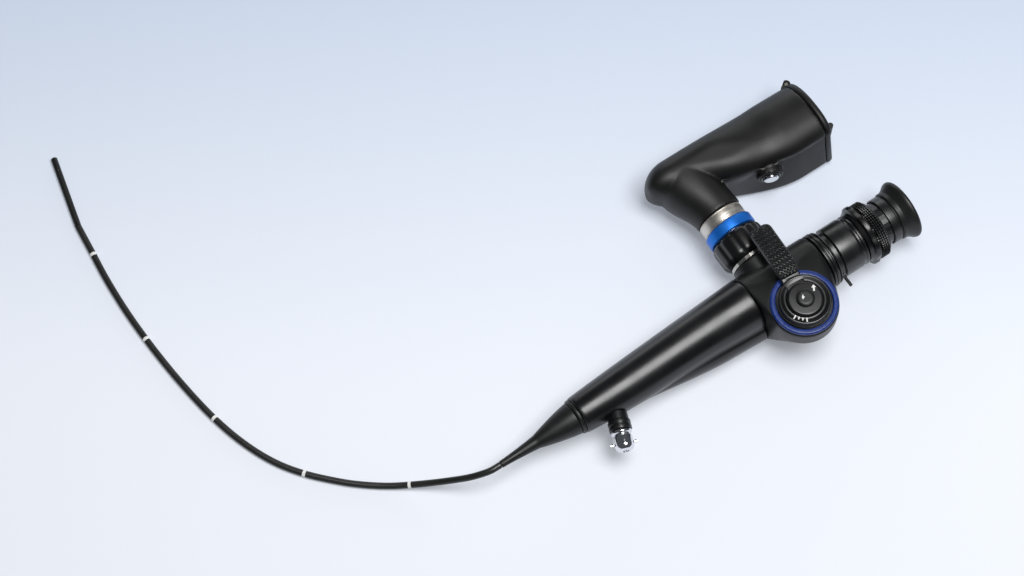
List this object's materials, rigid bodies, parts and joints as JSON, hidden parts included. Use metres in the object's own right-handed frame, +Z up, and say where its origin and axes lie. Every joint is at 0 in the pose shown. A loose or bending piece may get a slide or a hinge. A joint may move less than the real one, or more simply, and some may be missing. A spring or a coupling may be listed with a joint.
{
  "type": "flexible endoscope",
  "caption": "Portable flexible endoscope with slim insertion tube, tapered grip, thumb lever, focusing eyepiece and battery light source.",
  "frame": {"origin": "where the control lever's pivot axis meets the flat base that the head rests on", "axes": "+X runs along the grip towards the eyepiece, +Y along the light connector towards the light source, +Z up, along the lever's pivot"},
  "size_m": [0.3343, 0.2881, 0.044],
  "materials": {
    "tube_sheath": "semi-matt black sheath",
    "boot_rubber": "matt black moulded rubber",
    "grip_plastic": "satin black moulding",
    "head_plastic": "satin black moulding",
    "blue_plastic": "blue anodised look",
    "source_plastic": "fine-grained black moulding",
    "black_metal": "black anodised",
    "steel": "turned and brushed",
    "chrome": "polished",
    "tip_resin": "hard black resin",
    "link_steel": "steel rings in a black rubber skin",
    "lens_glass": "polished glass",
    "cell_wrap": "printed sleeve"
  },
  "bodies": {
    "scope": {"insertion_tube": "tube_sheath", "bending_collar": "tip_resin", "boot": "boot_rubber", "boot_ring": "boot_rubber", "grip": "grip_plastic", "vent_collar": "black_metal", "vent_connector": "chrome", "vent_pin_front": "chrome", "vent_pin_rear": "chrome", "head_housing": "head_plastic", "base_cap": "head_plastic", "base_screw_1": "steel", "base_screw_2": "steel", "base_screw_3": "steel", "side_plate": "black_metal", "accent_ring": "blue_plastic", "eyepiece_flange": "black_metal", "eyepiece_barrel": "black_metal", "index_pin": "black_metal", "ocular_sleeve": "black_metal", "eyecup": "boot_rubber", "light_post": "steel", "source_nose": "steel", "blue_band": "blue_plastic", "steel_band": "steel", "condenser_lens": "lens_glass", "lamp_module": "black_metal", "source_housing": "source_plastic", "battery_cell_1": "cell_wrap", "battery_cell_2": "cell_wrap", "contact_spring_1": "steel", "contact_spring_2": "steel", "lid_pin": "steel", "button_bezel": "black_metal"},
    "lever": {"lever_disc": "grip_plastic", "lever_pad": "black_metal", "lever_hub_cap": "black_metal", "angulation_drum": "steel"},
    "focus": {"focus_ring": "grip_plastic"},
    "lens_carrier": {"lens_cell": "black_metal", "eye_lens": "lens_glass"},
    "nut": {"union_nut": "grip_plastic"},
    "lid": {"battery_lid": "source_plastic"},
    "button": {"power_button": "chrome"},
    "link_1": {"bending_link_1": "link_steel"},
    "link_2": {"bending_link_2": "link_steel"},
    "link_3": {"bending_link_3": "link_steel"},
    "link_4": {"bending_link_4": "link_steel"},
    "link_5": {"bending_link_5": "link_steel"},
    "tip": {"distal_tip": "tip_resin"}
  },
  "joints": [
    {"name": "lever_swing", "type": "hinge", "parent": "scope", "child": "lever", "pos_m": [0, 0, 0.0385], "axis": [0, 0, 1], "range_deg": [-35, 35]},
    {"name": "focus_turn", "type": "hinge", "parent": "scope", "child": "focus", "pos_m": [0.0496, 0.017, 0.019], "axis": [1, 0, 0], "range_deg": [-60, 60]},
    {"name": "lens_slide", "type": "slide", "parent": "scope", "child": "lens_carrier", "axis": [1, 0, 0], "range_m": [-0.0015, 0.0015]},
    {"name": "nut_turn", "type": "hinge", "parent": "scope", "child": "nut", "pos_m": [-0.003, 0.0429, 0.019], "axis": [0, 1, 0], "continuous": true},
    {"name": "lid_swing", "type": "hinge", "parent": "scope", "child": "lid", "pos_m": [0.0625, 0.0994, 0.0168], "axis": [0, 0, 1], "range_deg": [0, 100]},
    {"name": "button_press", "type": "slide", "parent": "scope", "child": "button", "axis": [0.3348, 0.9423, 0], "range_m": [0, 0.0008], "stiffness_N_per_m": 400},
    {"name": "bend_1", "type": "hinge", "parent": "scope", "child": "link_1", "pos_m": [-0.256, 0.2386, 0.0017], "axis": [0, 0, 1], "range_deg": [-22, 22]},
    {"name": "bend_2", "type": "hinge", "parent": "link_1", "child": "link_2", "pos_m": [-0.25494, 0.24338, 0.0017], "axis": [0, 0, 1], "range_deg": [-22, 22]},
    {"name": "bend_3", "type": "hinge", "parent": "link_2", "child": "link_3", "pos_m": [-0.25388, 0.24817, 0.0017], "axis": [0, 0, 1], "range_deg": [-22, 22]},
    {"name": "bend_4", "type": "hinge", "parent": "link_3", "child": "link_4", "pos_m": [-0.25282, 0.25295, 0.0017], "axis": [0, 0, 1], "range_deg": [-22, 22]},
    {"name": "bend_5", "type": "hinge", "parent": "link_4", "child": "link_5", "pos_m": [-0.25176, 0.25774, 0.0017], "axis": [0, 0, 1], "range_deg": [-22, 22]},
    {"name": "bend_6", "type": "hinge", "parent": "link_5", "child": "tip", "pos_m": [-0.2507, 0.26252, 0.0017], "axis": [0, 0, 1], "range_deg": [-22, 22]}
  ],
  "couplings": [
    {"joint": "lens_slide", "follows": "focus_turn", "m_per_rad": 0.00143},
    {"joint": "bend_1", "follows": "lever_swing", "ratio": 0.619},
    {"joint": "bend_2", "follows": "lever_swing", "ratio": 0.619},
    {"joint": "bend_3", "follows": "lever_swing", "ratio": 0.619},
    {"joint": "bend_4", "follows": "lever_swing", "ratio": 0.619},
    {"joint": "bend_5", "follows": "lever_swing", "ratio": 0.619},
    {"joint": "bend_6", "follows": "lever_swing", "ratio": 0.619}
  ]
}
